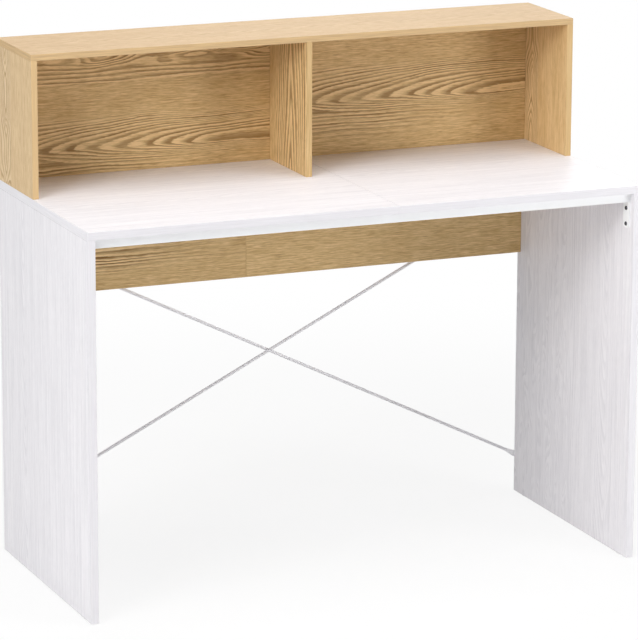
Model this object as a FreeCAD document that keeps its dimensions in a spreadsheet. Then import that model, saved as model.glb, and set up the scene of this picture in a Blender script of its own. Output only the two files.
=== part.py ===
import FreeCAD, Part
import os
import re
import Sketcher

# Student desk with hutch: a flat-pack desk of laminate boards with a steel front beam, a crossed rod
# brace and an open hutch, held together by cam fittings, dowels and screws.
# Millimetres. +X runs to the right, +Y to the rear, +Z up. The origin is on the floor, under the middle
# of the whole desk.

SIZES = {
    # desk boards
    "desk_width": 1100,
    "desk_depth": 500,
    "desk_height": 730,
    "desk_board": 15,
    "desktop_seam": 55,
    "apron_seam": -55,
    "apron_height": 215,
    "board_arris": 0.5,
    # hutch boards
    "hutch_height": 270,
    "hutch_depth": 200,
    "hutch_board": 12,
    "hutch_back_inset": 5,
    # front beam: a rectangular steel tube with a plate welded to each end
    "beam_setback": 14,
    "beam_depth": 25,
    "beam_height": 19,
    "beam_wall": 1.5,
    "beam_corner": 2,
    "plate_height": 70,
    "plate_thickness": 2,
    "plate_corner": 8,
    "plate_screw_foot": 8,
    "plate_screw_pitch": 30,
    # rod brace behind the desk
    "rod_diameter": 6,
    "rod_gap": 0.3,
    "brace_low": 75,
    "brace_drop": 102,
    "eye_width": 12,
    "eye_thickness": 2,
    "eye_reach": 9,
    "eye_taper": 18,
    "taper_core": 4.2,
    # screws
    "screw_diameter": 4,
    "screw_head_diameter": 8,
    "screw_head_height": 2.4,
    "screw_bite": 11,
    "brace_screw_bite": 23,
    "screw_hole_play": 0.25,
    # dowels: the desk's and the thinner hutch's
    "dowel_diameter": 8,
    "dowel_length": 30,
    "dowel_face_depth": 10,
    "slim_dowel_diameter": 6,
    "slim_dowel_length": 25,
    "slim_dowel_face_depth": 8,
    "divider_dowel_length": 36,
    "bore_play": 0.1,
    "bore_relief": 0.5,
    # cam fittings
    "cam_diameter": 15,
    "cam_behind_axis": 4,
    "desk_cam_reach": 34,
    "hutch_cam_reach": 24,
    "cam_cavity_width": 7,
    "cam_cavity_end": 0.6,
    "cam_slot_width": 4,
    "cam_cross_length": 8.4,
    "cam_cross_width": 1.8,
    "cam_cross_depth": 1.8,
    "bolt_bore": 7,
    "bolt_thread_diameter": 5,
    "bolt_thread_length": 9,
    "bolt_shank_diameter": 6,
    "bolt_neck_diameter": 3.4,
    "bolt_neck_length": 5,
    "bolt_head_diameter": 6.4,
    "bolt_head_length": 3,
    # where the fittings sit
    "panel_dowel_front": 60,
    "panel_dowel_rear": 30,
    "seam_dowel_edge": 60,
    "apron_end_cam": 100,
    "apron_top_cam": 135,
    "apron_dowel_edge": 45,
    "hutch_dowel_front": 40,
    "hutch_dowel_rear": 70,
    "hutch_back_dowel_edge": 90,
    "divider_dowel_edge": 60,
    # nail-in floor glides
    "glide_diameter": 13,
    "glide_height": 2,
    "glide_nail_diameter": 2,
    "glide_nail_length": 12,
    "glide_inset": 40,
}

# Levels and faces that several pieces share.
SIDE = "(desk_width / 2)"
INNER = "(desk_width / 2 - desk_board)"
FRONT = "(-(desk_depth + 2 * rod_diameter + 2 * rod_gap) / 2)"
REAR = f"({FRONT} + desk_depth)"
UNDER = "(desk_height - desk_board)"
APRON_FOOT = f"({UNDER} - apron_height)"
APRON_MIDDLE = f"({REAR} - desk_board / 2)"
PANEL_MIDDLE = "(desk_width / 2 - desk_board / 2)"
BRACE_HIGH = f"({UNDER} - brace_drop)"
BEAM_FRONT = f"({FRONT} + beam_setback)"
BEAM_MIDDLE = f"({BEAM_FRONT} + beam_depth / 2)"
BEAM_FOOT = f"({UNDER} - beam_height)"
HUTCH_FRONT = f"({REAR} - hutch_depth)"
HUTCH_INNER = "(desk_width / 2 - hutch_board)"
HUTCH_UNDER = "(desk_height + hutch_height - hutch_board)"
HUTCH_BACK = f"({REAR} - hutch_back_inset)"
HUTCH_BACK_MIDDLE = f"({HUTCH_BACK} - hutch_board / 2)"
HUTCH_SIDE_MIDDLE = "(desk_width / 2 - hutch_board / 2)"
HUTCH_MID_HEIGHT = "(desk_height + (hutch_height - hutch_board) / 2)"

PLANES = {"x": "YZ_Plane", "y": "XZ_Plane", "z": "XY_Plane"}

doc = FreeCAD.newDocument("StudentDesk")
sizes = doc.addObject("Spreadsheet::Sheet", "Sizes")
for row, (alias, value) in enumerate(SIZES.items(), start=1):
    sizes.set(f"A{row}", alias)
    sizes.set(f"B{row}", str(value))
    sizes.setAlias(f"B{row}", alias)
doc.recompute()

nodes = []
fasteners = {}


def in_sheet(formula):
    """The formula with each size's name pointed at its cell."""
    return re.sub(r"\b[a-z]+_[a-z_]+\b", lambda name: "Sizes." + name.group(), formula)


def number(formula):
    return float(sizes.evalExpression(in_sheet(formula)))


def bind(item, target, formula):
    item.setExpression(target, in_sheet(formula))


def place(item, corner):
    for axis, formula in zip("xyz", corner):
        bind(item, f"Placement.Base.{axis}", formula)


# ---- sketches and features ----

def new_body(label):
    body = doc.addObject("PartDesign::Body", label)
    body.Label = label
    return body


def sketch_on(body, name, axis, level="0"):
    """A sketch square to an axis of its body, at a level along that axis."""
    plane = next(item for item in body.Origin.OriginFeatures if item.Role == PLANES[axis])
    sketch = body.newObject("Sketcher::SketchObject", name)
    sketch.AttachmentSupport = [(plane, "")]
    sketch.MapMode = "FlatFace"
    side = "-" if axis == "y" else ""
    bind(sketch, "AttachmentOffset.Base.z", f"{side}({level})")
    return sketch


def pin_point(sketch, geometry, vertex, x, y):
    """Dimension a sketch point from the sketch's origin."""
    for kind, axis, formula in (("DistanceX", -2, x), ("DistanceY", -1, y)):
        if formula == "0":
            sketch.addConstraint(Sketcher.Constraint("PointOnObject", geometry, vertex, axis))
            continue
        index = sketch.addConstraint(
            Sketcher.Constraint(kind, -1, 1, geometry, vertex, number(formula)))
        bind(sketch, f"Constraints[{index}]", formula)


def circle(sketch, x, y, diameter):
    centre = FreeCAD.Vector(number(x), number(y), 0)
    shape = Part.Circle(centre, FreeCAD.Vector(0, 0, 1), number(diameter) / 2)
    index = sketch.addGeometry(shape, False)
    pin_point(sketch, index, 3, x, y)
    size = sketch.addConstraint(Sketcher.Constraint("Diameter", index, number(diameter)))
    bind(sketch, f"Constraints[{size}]", diameter)


def polygon(sketch, corners):
    points = [FreeCAD.Vector(number(x), number(y), 0) for x, y in corners]
    lines = []
    for start, end in zip(points, points[1:] + points[:1]):
        lines.append(sketch.addGeometry(Part.LineSegment(start, end), False))
    for line, following in zip(lines, lines[1:] + lines[:1]):
        sketch.addConstraint(Sketcher.Constraint("Coincident", line, 2, following, 1))
    for line, (x, y) in zip(lines, corners):
        pin_point(sketch, line, 1, x, y)


def rectangle(sketch, width, height):
    polygon(sketch, [("0", "0"), (width, "0"), (width, height), ("0", height)])


def pad(body, name, sketch, length, reverse=False, midplane=False):
    feature = body.newObject("PartDesign::Pad", name)
    feature.Profile = sketch
    feature.Reversed = reverse
    feature.Midplane = midplane
    bind(feature, "Length", length)
    return feature


def pocket(body, name, sketch, depth, reverse=False, midplane=False):
    feature = body.newObject("PartDesign::Pocket", name)
    feature.Profile = sketch
    feature.Reversed = reverse
    feature.Midplane = midplane
    bind(feature, "Length", depth)
    return feature


def prism(body, name, kind, axis, spot, diameter, length):
    """An eight-sided pin or bore, square to an axis of its body, that starts at a spot.

    Pins, threads and the blind bores that close over them never show, so they are drawn with eight flat
    sides: it keeps the model light, and a pin's corners line up with its bore's.
    """
    plane = next(item for item in body.Origin.OriginFeatures if item.Role == PLANES[axis])
    feature = body.newObject(f"PartDesign::{kind}Prism", name)
    feature.AttachmentSupport = [(plane, "")]
    feature.MapMode = "FlatFace"
    feature.Polygon = 8
    for target, formula in zip("xyz", spot):
        bind(feature, f"AttachmentOffset.Base.{target}", formula)
    bind(feature, "Circumradius", f"({diameter}) / 2")
    bind(feature, "Height", length)
    return feature


def pin(body, name, start, diameter, length):
    return prism(body, name, "Additive", "z", ("0", "0", start), diameter, length)


def edges_along(feature, axis, keep=lambda edge: True):
    """Names of the straight edges that run along X, Y or Z."""
    names = []
    for index, edge in enumerate(feature.Shape.Edges, start=1):
        if not isinstance(edge.Curve, Part.Line):
            continue
        if abs(getattr(edge.Curve.Direction, axis)) > 0.999 and keep(edge):
            names.append(f"Edge{index}")
    return names


def fillet(body, name, base, edges, radius):
    feature = body.newObject("PartDesign::Fillet", name)
    feature.Base = (base, edges)
    bind(feature, "Radius", radius)
    return feature


# ---- boards and the holes drilled in them ----

class Board:
    """A flat board with broken edges. Its origin is its low corner, and it is padded to its thickness."""

    def __init__(self, label, corner, size, thin):
        self.corner = corner
        self.size = size
        self.body = new_body(label)
        across = ["xyz".index(axis) for axis in "xyz" if axis != thin]
        outline = sketch_on(self.body, f"{label}_outline", thin)
        rectangle(outline, size[across[0]], size[across[1]])
        blank = pad(self.body, f"{label}_blank", outline, size["xyz".index(thin)], reverse=thin == "y")
        arris = self.body.newObject("PartDesign::Chamfer", f"{label}_arris")
        arris.Base = (blank, ["Edge1"])
        arris.UseAllEdges = True
        bind(arris, "Size", "board_arris")
        place(self.body, corner)
        nodes.append(self.body)

    def local(self, point, along):
        """A point of the desk's frame, on the plane square to one of the board's axes."""
        return [f"{point[i]} - {self.corner[i]}" for i in range(3) if i != along]

    def bore(self, name, towards, points, diameter, depth):
        """Blind bores for pins, entering where the drill meets the board first."""
        sign, axis = towards
        along = "xyz".index(axis)
        if axis == "y":
            start = f"-({depth})" if sign == "+" else f"-({self.size[along]})"
        else:
            start = "0" if sign == "+" else f"{self.size[along]} - ({depth})"
        for index, point in enumerate(points):
            spot = self.local(point, along) + [start]
            label = f"{self.body.Label}_{name}_{index}"
            prism(self.body, label, "Subtractive", axis, spot, diameter, depth)

    def round_holes(self, name, towards, points, diameter, depth):
        """Blind round holes that show, entering where the drill meets the board first."""
        sign, axis = towards
        along = "xyz".index(axis)
        label = f"{self.body.Label}_{name}"
        level = self.size[along] if sign == "-" else "0"
        sketch = sketch_on(self.body, f"{label}_centres", axis, level)
        for point in points:
            x, y = self.local(point, along)
            circle(sketch, x, y, diameter)
        pocket(self.body, label, sketch, depth, reverse=(sign == "-") == (axis == "y"))


def opposite(direction):
    return {"+": "-", "-": "+"}[direction[0]] + direction[1]


def shifted(point, direction, distance):
    moved = list(point)
    along = "xyz".index(direction[1])
    moved[along] = f"({point[along]} {direction[0]} {distance})"
    return tuple(moved)


def vector(direction):
    length = 1 if direction[0] == "+" else -1
    return FreeCAD.Vector(*(length if axis == direction[1] else 0 for axis in "xyz"))


def pointing(direction):
    """The turn that points a fastener's own +Z along a direction."""
    return FreeCAD.Rotation(FreeCAD.Vector(0, 0, 1), vector(direction))


def cam_turn(bolt_side, inward):
    """A cam is pushed in through a face, with its slot facing the bolt."""
    depth = vector(inward)
    slot = vector(bolt_side)
    return FreeCAD.Rotation(slot, depth.cross(slot), depth, "ZXY")


def add_fasteners(label, points, turn):
    fasteners.setdefault(label, []).extend((point, turn) for point in points)


def dowel_joint(edge_board, face_board, name, points, direction, kind, label):
    """Dowels from the edge of one board, along a direction, into the other board."""
    diameter = f"{kind}diameter + 2 * bore_play"
    edge_board.bore(name, opposite(direction), points, diameter,
                    f"{kind}length - {kind}face_depth + bore_relief")
    face_board.bore(name, direction, points, diameter, f"{kind}face_depth + bore_relief")
    add_fasteners(label, points, pointing(direction))


def seam_dowels(left, right, points, label):
    """Dowels that lie half in each of two butted boards."""
    diameter = "dowel_diameter + 2 * bore_play"
    depth = "dowel_length / 2 + bore_relief"
    left.bore("seam_dowel", "-x", points, diameter, depth)
    right.bore("seam_dowel", "+x", points, diameter, depth)
    add_fasteners(label, points, pointing("+x"))


def cam_joint(bolt_board, cam_board, name, points, direction, fitting, face):
    """Bolts screwed into one board reach, along a direction, into cams let into a face of the other."""
    inward, level = face
    reach = f"{fitting}_cam_reach"
    bolt_board.bore(f"{name}_thread", opposite(direction), points,
                    "bolt_thread_diameter + 2 * bore_play", "bolt_thread_length + bore_relief")
    cam_board.bore(f"{name}_bolt", direction, points, "bolt_bore", reach)
    centres = []
    for point in points:
        centre = list(shifted(point, direction, reach))
        centre["xyz".index(inward[1])] = level
        centres.append(tuple(centre))
    cam_board.round_holes(f"{name}_cam", inward, centres, "cam_diameter + 2 * bore_play",
                          f"{fitting}_board / 2 + cam_behind_axis + bore_play")
    add_fasteners(f"{fitting}_cam_bolts", points, pointing(direction))
    add_fasteners(f"{fitting}_cam_locks", centres, cam_turn(opposite(direction), inward))


def screw_joint(board, name, points, direction, label, through, bite="screw_bite"):
    """Screws whose heads seat on a metal part at the points, and bite into the board behind it."""
    board.bore(name, direction, points, "screw_diameter + 2 * bore_play", f"{bite} + bore_relief")
    seats = [shifted(point, opposite(direction), through) for point in points]
    add_fasteners(label, seats, pointing(direction))


# ---- fasteners, each drawn once along its own Z axis ----

def pan_screw(label, through, bite="screw_bite"):
    body = new_body(label)
    head = sketch_on(body, f"{label}_head_outline", "z", "-screw_head_height")
    circle(head, "0", "0", "screw_head_diameter")
    pad(body, f"{label}_head", head, "screw_head_height")
    pin(body, f"{label}_thread", "0", "screw_diameter", f"{through} + {bite}")
    return body


def dowel(label, diameter, length, into_face):
    """A fluted wooden pin, its joint line at its own origin."""
    body = new_body(label)
    pin(body, f"{label}_flutes", f"{into_face} - {length}", diameter, length)
    return body


def cam_bolt(label, reach):
    """A bolt whose thread bites below its origin; its head ends at the cam's axis."""
    body = new_body(label)
    neck = f"({reach} - bolt_head_length - bolt_neck_length)"
    pin(body, f"{label}_thread", "-bolt_thread_length", "bolt_thread_diameter", "bolt_thread_length")
    pin(body, f"{label}_shank", "0", "bolt_shank_diameter", neck)
    pin(body, f"{label}_neck", neck, "bolt_neck_diameter", "bolt_neck_length")
    pin(body, f"{label}_head", f"{reach} - bolt_head_length", "bolt_head_diameter", "bolt_head_length")
    return body


def cam_lock(label, board):
    """A die-cast drum with a cross recess, a cavity for the bolt's head and a slot for its neck."""
    body = new_body(label)
    drum = sketch_on(body, f"{label}_drum_outline", "z")
    circle(drum, "0", "0", "cam_diameter")
    pad(body, f"{label}_drum", drum, f"{board} / 2 + cam_behind_axis")

    rim = "cam_diameter / 2"
    wide = "cam_cavity_width / 2"
    narrow = "cam_slot_width / 2"
    shoulder = "(bolt_head_length + cam_cavity_end)"
    cavity = sketch_on(body, f"{label}_cavity_outline", "z", f"{board} / 2")
    polygon(cavity, [
        ("-cam_cavity_end", f"-{wide}"), (shoulder, f"-{wide}"), (shoulder, f"-{narrow}"),
        (rim, f"-{narrow}"), (rim, narrow), (shoulder, narrow), (shoulder, wide),
        ("-cam_cavity_end", wide),
    ])
    pocket(body, f"{label}_cavity", cavity, "cam_cavity_width", midplane=True)

    arm = "cam_cross_length / 2"
    half = "cam_cross_width / 2"
    cross = sketch_on(body, f"{label}_cross_outline", "z")
    polygon(cross, [
        (arm, f"-{half}"), (arm, half), (half, half), (half, arm),
        (f"-{half}", arm), (f"-{half}", half), (f"-{arm}", half), (f"-{arm}", f"-{half}"),
        (f"-{half}", f"-{half}"), (f"-{half}", f"-{arm}"), (half, f"-{arm}"), (half, f"-{half}"),
    ])
    pocket(body, f"{label}_cross", cross, "cam_cross_depth", reverse=True)
    return body


def floor_glide(label):
    """A nail-in glide: its head is below its origin, its nail above."""
    body = new_body(label)
    head = sketch_on(body, f"{label}_head_outline", "z", "-glide_height")
    circle(head, "0", "0", "glide_diameter")
    pad(body, f"{label}_head", head, "glide_height")
    pin(body, f"{label}_nail", "0", "glide_nail_diameter", "glide_nail_length")
    return body


def copies(label, master):
    """One node that holds a linked copy of the master at each of its places."""
    links = []
    for index, (point, turn) in enumerate(fasteners[label]):
        link = doc.addObject("App::Link", f"{label}_{index}")
        link.LinkedObject = master
        link.Placement = FreeCAD.Placement(FreeCAD.Vector(), turn)
        place(link, point)
        links.append(link)
    group = doc.addObject("Part::Compound", label)
    group.Label = label
    group.Links = links
    nodes.append(group)


# ---- steel parts ----

def front_beam():
    """The tube: a padded bar with rounded corners, shelled from both ends."""
    body = new_body("front_beam")
    section = sketch_on(body, "beam_section", "x")
    rectangle(section, "beam_depth", "beam_height")
    bar = pad(body, "beam_bar", section, f"2 * ({INNER} - plate_thickness)")
    doc.recompute()
    rounded = fillet(body, "beam_corners", bar, edges_along(bar, "x"), "beam_corner")
    doc.recompute()
    ends = [f"Face{index}" for index, face in enumerate(rounded.Shape.Faces, start=1)
            if face.BoundBox.XLength < 0.001]
    tube = body.newObject("PartDesign::Thickness", "beam_tube")
    tube.Base = (rounded, ends)
    tube.Reversed = True
    bind(tube, "Value", "beam_wall")
    place(body, (f"(-{INNER} + plate_thickness)", BEAM_FRONT, BEAM_FOOT))
    nodes.append(body)


def plate_screw_points(inner_face):
    low = f"({UNDER} - plate_height + plate_screw_foot)"
    return [(inner_face, BEAM_MIDDLE, low), (inner_face, BEAM_MIDDLE, f"({low} + plate_screw_pitch)")]


def beam_end_plate(label, low_x):
    """The plate welded across the beam's end, hanging down the side panel with rounded lower corners."""
    body = new_body(label)
    corner = (low_x, BEAM_FRONT, f"({UNDER} - plate_height)")
    outline = sketch_on(body, f"{label}_outline", "x")
    rectangle(outline, "beam_depth", "plate_height")
    blank = pad(body, f"{label}_blank", outline, "plate_thickness")
    doc.recompute()
    middle = number("plate_height") / 2
    lower = edges_along(blank, "x", lambda edge: edge.CenterOfMass.z < middle)
    fillet(body, f"{label}_corners", blank, lower, "plate_corner")
    for index, (_, y, z) in enumerate(plate_screw_points(low_x)):
        spot = (f"{y} - {corner[1]}", f"{z} - {corner[2]}", "0")
        prism(body, f"{label}_hole_{index}", "Subtractive", "x", spot,
              "screw_diameter + 2 * screw_hole_play", "plate_thickness")
    place(body, corner)
    nodes.append(body)


def brace_rod(label, low_side, axis_height):
    """A round rod with its ends pressed flat and drilled, drawn up its own Z axis from eye to eye.

    The eyes lie against the panels' rear edges, and the stem stands off from them by the height of its
    axis, so that one rod passes behind the other.
    """
    body = new_body(label)
    span = f"(2 * {PANEL_MIDDLE})"
    rise = f"({BRACE_HIGH} - brace_low)"
    length = f"sqrt({span} * {span} + {rise} * {rise})"
    stem_start = "(eye_reach + eye_taper)"

    section = sketch_on(body, f"{label}_section", "z", stem_start)
    circle(section, "0", axis_height, "rod_diameter")
    pad(body, f"{label}_stem", section, f"{length} - 2 * {stem_start}")
    flatten_end(body, f"{label}_low", "0", stem_start, "eye_reach", axis_height)
    flatten_end(body, f"{label}_high", length, f"({length} - {stem_start})",
                f"({length} - eye_reach)", axis_height)

    lean = 1 if low_side == "-" else -1
    body.Placement = FreeCAD.Placement(FreeCAD.Vector(),
                                       FreeCAD.Rotation(FreeCAD.Vector(0, lean, 0), 1))
    bind(body, "Placement.Rotation.Angle", f"atan2({span}; {rise})")
    place(body, (f"({low_side}{PANEL_MIDDLE})", REAR, "brace_low"))
    nodes.append(body)


def flatten_end(body, name, hole, stem_end, flat_end, axis_height):
    """The taper from the stem down to the flat, the flat itself with its round end, and its hole."""
    core = sketch_on(body, f"{name}_core", "z", stem_end)
    flat_bar(core, "taper_core", f"{axis_height} - taper_core / 2", "taper_core")
    pressed = sketch_on(body, f"{name}_pressed", "z", flat_end)
    flat_bar(pressed, "eye_width", "0", "eye_thickness")
    taper = body.newObject("PartDesign::AdditiveLoft", f"{name}_taper")
    taper.Profile = core
    taper.Sections = [pressed]

    neck = sketch_on(body, f"{name}_neck_outline", "y")
    half = "eye_width / 2"
    polygon(neck, [(f"-{half}", hole), (f"-{half}", flat_end), (half, flat_end), (half, hole)])
    pad(body, f"{name}_neck", neck, "eye_thickness", reverse=True)
    eye = sketch_on(body, f"{name}_eye_outline", "y")
    circle(eye, "0", hole, "eye_width")
    pad(body, f"{name}_eye", eye, "eye_thickness", reverse=True)
    prism(body, f"{name}_hole", "Subtractive", "y", ("0", hole, "-eye_thickness"),
          "screw_diameter + 2 * screw_hole_play", "eye_thickness")


def flat_bar(sketch, width, low, thickness):
    """A rectangle centred across the sketch, its lower side at a level."""
    half = f"{width} / 2"
    high = f"{low} + {thickness}"
    polygon(sketch, [(f"-{half}", low), (half, low), (half, high), (f"-{half}", high)])


# ---- the desk ----

def desk_boards():
    panel_size = ("desk_board", "desk_depth", f"({UNDER} - glide_height)")
    left_panel = Board("side_panel_left", (f"(-{SIDE})", FRONT, "glide_height"), panel_size, "x")
    right_panel = Board("side_panel_right", (INNER, FRONT, "glide_height"), panel_size, "x")
    left_top = Board("desktop_left", (f"(-{SIDE})", FRONT, UNDER),
                     (f"({SIDE} + desktop_seam)", "desk_depth", "desk_board"), "z")
    right_top = Board("desktop_right", ("desktop_seam", FRONT, UNDER),
                      (f"({SIDE} - desktop_seam)", "desk_depth", "desk_board"), "z")
    left_apron = Board("apron_left", (f"(-{INNER})", f"({REAR} - desk_board)", APRON_FOOT),
                       (f"({INNER} + apron_seam)", "desk_board", "apron_height"), "y")
    right_apron = Board("apron_right", ("apron_seam", f"({REAR} - desk_board)", APRON_FOOT),
                        (f"({INNER} - apron_seam)", "desk_board", "apron_height"), "y")
    return left_panel, right_panel, left_top, right_top, left_apron, right_apron


def join_desk(left_panel, right_panel, left_top, right_top, left_apron, right_apron):
    # side panels up into the desktop
    rows = [f"({FRONT} + panel_dowel_front)", f"({FRONT} + desk_depth / 2)",
            f"({REAR} - panel_dowel_rear)"]
    for panel, top, x in ((left_panel, left_top, f"(-{PANEL_MIDDLE})"),
                          (right_panel, right_top, PANEL_MIDDLE)):
        points = [(x, y, UNDER) for y in rows]
        dowel_joint(panel, top, "top_dowel", points, "+z", "dowel_", "panel_dowels")

    # apron ends into the side panels
    rear_face = ("-y", REAR)
    heights = [f"({APRON_FOOT} + apron_dowel_edge)", f"({UNDER} - apron_dowel_edge)"]
    for panel, apron, x, inward in ((left_panel, left_apron, f"(-{INNER})", "+x"),
                                    (right_panel, right_apron, INNER, "-x")):
        points = [(x, APRON_MIDDLE, f"({APRON_FOOT} + apron_end_cam)")]
        cam_joint(panel, apron, "apron_end", points, inward, "desk", rear_face)
        points = [(x, APRON_MIDDLE, z) for z in heights]
        dowel_joint(apron, panel, "end_dowel", points, opposite(inward), "dowel_", "apron_dowels")

    # desktop down onto the apron; the middle bolt ties the left desktop board to the right apron board
    edge = f"({INNER} - apron_top_cam)"
    for top, apron, name, x in ((left_top, left_apron, "left", f"(-{edge})"),
                                (left_top, right_apron, "middle", "((apron_seam + desktop_seam) / 2)"),
                                (right_top, right_apron, "right", edge)):
        points = [(x, APRON_MIDDLE, UNDER)]
        cam_joint(top, apron, f"apron_{name}", points, "-z", "desk", rear_face)

    # the desktop's seam: four dowels, and a cam let into the underside halfway along
    board_middle = f"({UNDER} + desk_board / 2)"
    step = "((desk_depth - 2 * seam_dowel_edge) / 4)"
    rows = [("desktop_seam", f"({FRONT} + seam_dowel_edge + {place} * {step})", board_middle)
            for place in range(5)]
    seam_dowels(left_top, right_top, rows[:2] + rows[3:], "desktop_dowels")
    cam_joint(left_top, right_top, "seam", rows[2:3], "+x", "desk", ("+z", UNDER))

    # the apron's seam
    points = [("apron_seam", APRON_MIDDLE, z) for z in heights]
    seam_dowels(left_apron, right_apron, points, "apron_seam_dowels")

    # the beam's plates and the rods' eyes onto the side panels, and the glides under them
    for panel, sign in ((left_panel, "-"), (right_panel, "+")):
        points = plate_screw_points(f"({sign}{INNER})")
        screw_joint(panel, "plate_screw", points, f"{sign}x", "beam_plate_screws", "plate_thickness")
        x = f"({sign}{PANEL_MIDDLE})"
        points = [(x, REAR, "brace_low"), (x, REAR, BRACE_HIGH)]
        screw_joint(panel, "brace_screw", points, "-y", "brace_screws", "eye_thickness",
                    "brace_screw_bite")
        points = [(x, f"({FRONT} + glide_inset)", "glide_height"),
                  (x, f"({REAR} - glide_inset)", "glide_height")]
        panel.bore("glide_nail", "+z", points, "glide_nail_diameter + 2 * bore_play",
                   "glide_nail_length + bore_relief")
        add_fasteners("floor_glides", points, pointing("+z"))


# ---- the hutch ----

def hutch_boards():
    height = "(hutch_height - hutch_board)"
    upright = ("hutch_board", "hutch_depth", height)
    left_side = Board("hutch_side_left", (f"(-{SIDE})", HUTCH_FRONT, "desk_height"), upright, "x")
    right_side = Board("hutch_side_right", (HUTCH_INNER, HUTCH_FRONT, "desk_height"), upright, "x")
    divider = Board("hutch_divider", ("(-hutch_board / 2)", HUTCH_FRONT, "desk_height"), upright, "x")
    top = Board("hutch_top", (f"(-{SIDE})", HUTCH_FRONT, HUTCH_UNDER),
                ("desk_width", "hutch_depth", "hutch_board"), "z")
    back_size = (f"({HUTCH_INNER} - hutch_board / 2)", "hutch_board", height)
    back_y = f"({HUTCH_BACK} - hutch_board)"
    left_back = Board("hutch_back_left", (f"(-{HUTCH_INNER})", back_y, "desk_height"), back_size, "y")
    right_back = Board("hutch_back_right", ("(hutch_board / 2)", back_y, "desk_height"), back_size, "y")
    return left_side, right_side, divider, top, left_back, right_back


def join_hutch(left_side, right_side, divider, top, left_back, right_back, left_desktop, right_desktop):
    # uprights into the top and into the desktop
    rows = [f"({HUTCH_FRONT} + hutch_dowel_front)", f"({REAR} - hutch_dowel_rear)"]
    for upright, desktop, x, name in ((left_side, left_desktop, f"(-{HUTCH_SIDE_MIDDLE})", "left"),
                                      (divider, left_desktop, "0", "middle"),
                                      (right_side, right_desktop, HUTCH_SIDE_MIDDLE, "right")):
        points = [(x, y, HUTCH_UNDER) for y in rows]
        dowel_joint(upright, top, f"{name}_head", points, "+z", "slim_dowel_", "hutch_dowels")
        points = [(x, y, "desk_height") for y in rows]
        dowel_joint(upright, desktop, f"{name}_foot", points, "-z", "slim_dowel_", "hutch_dowels")

    # back panels into the sides, the top and the desktop
    rear_face = ("-y", HUTCH_BACK)
    for side, back, desktop, sign in ((left_side, left_back, left_desktop, "-"),
                                      (right_side, right_back, right_desktop, "+")):
        points = [(f"({sign}{HUTCH_INNER})", HUTCH_BACK_MIDDLE, HUTCH_MID_HEIGHT)]
        cam_joint(side, back, "side", points, opposite(f"{sign}x"), "hutch", rear_face)
        middle = f"({sign}({HUTCH_INNER} + hutch_board / 2) / 2)"
        points = [(middle, HUTCH_BACK_MIDDLE, "desk_height")]
        cam_joint(desktop, back, "foot", points, "+z", "hutch", rear_face)
        name = {"-": "left_back", "+": "right_back"}[sign]
        points = [(f"({sign}({HUTCH_INNER} - hutch_back_dowel_edge))", HUTCH_BACK_MIDDLE, HUTCH_UNDER),
                  (f"({sign}(hutch_board / 2 + hutch_back_dowel_edge))", HUTCH_BACK_MIDDLE, HUTCH_UNDER)]
        dowel_joint(back, top, f"{name}_head", points, "+z", "slim_dowel_", "hutch_dowels")

    # long dowels right through the divider into both back panels
    heights = ["(desk_height + divider_dowel_edge)", f"({HUTCH_UNDER} - divider_dowel_edge)"]
    diameter = "slim_dowel_diameter + 2 * bore_play"
    into_back = "(divider_dowel_length - hutch_board) / 2 + bore_relief"
    middle = [("0", HUTCH_BACK_MIDDLE, z) for z in heights]
    divider.bore("through", "+x", middle, diameter, "hutch_board")
    left_back.bore("through", "-x", middle, diameter, into_back)
    right_back.bore("through", "+x", middle, diameter, into_back)
    add_fasteners("divider_dowels", middle, pointing("+x"))


# ---- build, check and write ----

def build():
    desk = desk_boards()
    hutch = hutch_boards()
    join_desk(*desk)
    join_hutch(*hutch, desk[2], desk[3])
    front_beam()
    beam_end_plate("beam_end_plate_left", f"(-{INNER})")
    beam_end_plate("beam_end_plate_right", f"({INNER} - plate_thickness)")
    brace_rod("brace_rod_inner", "-", "(rod_gap + rod_diameter / 2)")
    brace_rod("brace_rod_outer", "+", "(2 * rod_gap + rod_diameter * 3 / 2)")

    desk_dowel = dowel("desk_dowel", "dowel_diameter", "dowel_length", "dowel_face_depth")
    seam_dowel = dowel("seam_dowel", "dowel_diameter", "dowel_length", "dowel_length / 2")
    masters = {
        "panel_dowels": desk_dowel,
        "apron_dowels": desk_dowel,
        "desktop_dowels": seam_dowel,
        "apron_seam_dowels": seam_dowel,
        "hutch_dowels": dowel("slim_dowel", "slim_dowel_diameter", "slim_dowel_length",
                              "slim_dowel_face_depth"),
        "divider_dowels": dowel("long_dowel", "slim_dowel_diameter", "divider_dowel_length",
                                "divider_dowel_length / 2"),
        "desk_cam_locks": cam_lock("desk_cam", "desk_board"),
        "hutch_cam_locks": cam_lock("hutch_cam", "hutch_board"),
        "desk_cam_bolts": cam_bolt("desk_bolt", "desk_cam_reach"),
        "hutch_cam_bolts": cam_bolt("hutch_bolt", "hutch_cam_reach"),
        "beam_plate_screws": pan_screw("plate_screw", "plate_thickness"),
        "brace_screws": pan_screw("brace_screw", "eye_thickness", "brace_screw_bite"),
        "floor_glides": floor_glide("glide"),
    }
    for label, master in masters.items():
        copies(label, master)
    doc.recompute()


def check():
    for item in doc.Objects:
        if "Invalid" in item.State or "Error" in item.State:
            raise RuntimeError(f"{item.Label} failed: {item.State}")
        if item.TypeId in ("PartDesign::Pocket", "PartDesign::SubtractivePrism"):
            removed = item.BaseFeature.Shape.Volume - item.Shape.Volume
            if removed < 0.01:
                raise RuntimeError(f"{item.Label} cuts nothing")
    for node in nodes:
        if node.Shape.isNull() or not node.Shape.isValid():
            raise RuntimeError(f"{node.Label} has no valid shape")


def write():
    os.makedirs("parts", exist_ok=True)
    for node in nodes:
        node.Shape.exportStep(os.path.join("parts", f"{node.Label}.step"))
    print(f"{len(nodes)} nodes written")


build()
check()
write()
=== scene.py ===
import math

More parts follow.
